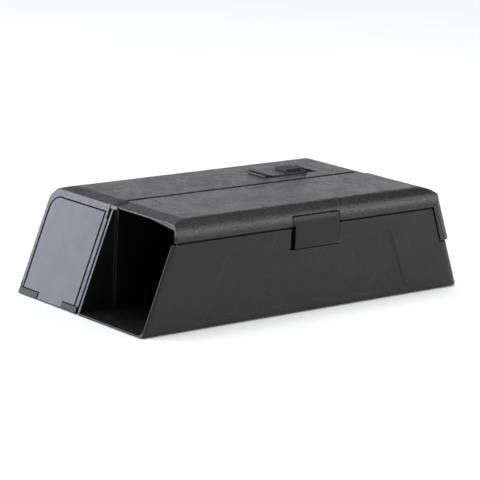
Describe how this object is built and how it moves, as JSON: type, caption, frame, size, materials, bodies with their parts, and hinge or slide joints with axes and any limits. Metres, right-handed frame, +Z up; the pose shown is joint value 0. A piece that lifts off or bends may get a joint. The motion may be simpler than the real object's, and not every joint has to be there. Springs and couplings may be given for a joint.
{
  "type": "rodent bait station",
  "caption": "Lockable rodent bait station: low box with sloping ends, open entrance tunnel under a lift-up lid, locked rear bait chamber and end door.",
  "frame": {"origin": "middle of the footprint, on the ground plane under the feet", "axes": "+X along the length away from the open entrance, +Y from the latch side to the rear, +Z up"},
  "size_m": [0.4012, 0.2, 0.1074],
  "materials": {
    "shell_plastic": "fine moulded grain, black",
    "trim_plastic": "smoother satin, black",
    "inner_plastic": "plain moulded, black",
    "steel": "drawn and zinc plated",
    "lock_brass": "turned",
    "bait": "pressed wax block",
    "plate": "plain pale strip"
  },
  "bodies": {
    "base": {"base": "shell_plastic", "divider": "shell_plastic", "divider_screws": "steel", "lid_hinge_pins": "steel", "rear_hinge_rod": "steel", "lock_strike": "steel", "strike_screws": "steel", "bait_tray": "inner_plastic", "bait_rods": "steel", "rod_clips": "steel", "bait_block_1": "bait", "bait_block_2": "bait", "bait_block_3": "bait", "bait_block_4": "bait", "bait_block_5": "bait", "bait_block_6": "bait"},
    "lid": {"lid": "shell_plastic", "latch_pin": "steel"},
    "front_latch": {"front_latch": "trim_plastic"},
    "rear_cover": {"rear_cover": "shell_plastic", "door_pins": "steel", "lock_housing": "inner_plastic", "housing_screws": "steel", "flap_pin": "steel", "id_plate": "plate"},
    "end_door": {"end_door": "trim_plastic"},
    "lock_barrel": {"lock_barrel": "lock_brass", "lock_cam": "steel", "cam_screw": "steel"},
    "lock_bolt": {"lock_bolt": "steel"},
    "lock_flap": {"lock_flap": "trim_plastic"},
    "flap_slider": {"flap_slider": "trim_plastic", "slider_tongue": "steel"}
  },
  "joints": [
    {"name": "lid_hinge", "type": "hinge", "parent": "base", "child": "lid", "pos_m": [0, -0.0012, 0.09895], "axis": [-1, 0, 0], "range_deg": [0, 90]},
    {"name": "latch_hinge", "type": "hinge", "parent": "lid", "child": "front_latch", "pos_m": [0, -0.09659, 0.0928], "axis": [-1, 0, 0], "range_deg": [0, 70]},
    {"name": "cover_hinge", "type": "hinge", "parent": "base", "child": "rear_cover", "pos_m": [0, 0.097, 0.01], "axis": [-1, 0, 0], "range_deg": [0, 90]},
    {"name": "door_hinge", "type": "hinge", "parent": "rear_cover", "child": "end_door", "pos_m": [-0.16506, 0.05, 0.08688], "axis": [0, 1, 0], "range_deg": [0, 85]},
    {"name": "flap_hinge", "type": "hinge", "parent": "rear_cover", "child": "lock_flap", "pos_m": [0.0495, 0.0395, 0.10275], "axis": [0, -1, 0], "range_deg": [0, 100]},
    {"name": "flap_slide", "type": "slide", "parent": "lock_flap", "child": "flap_slider", "axis": [0, 1, 0], "range_m": [0, 0.004]},
    {"name": "key_turn", "type": "hinge", "parent": "rear_cover", "child": "lock_barrel", "pos_m": [0.076, 0.039, 0.092], "axis": [0, 0, -1], "range_deg": [0, 90]},
    {"name": "bolt_slide", "type": "slide", "parent": "rear_cover", "child": "lock_bolt", "axis": [0, -1, 0], "range_m": [0, 0.008]}
  ],
  "couplings": [
    {"joint": "bolt_slide", "follows": "key_turn", "m_per_rad": 0.005093}
  ]
}
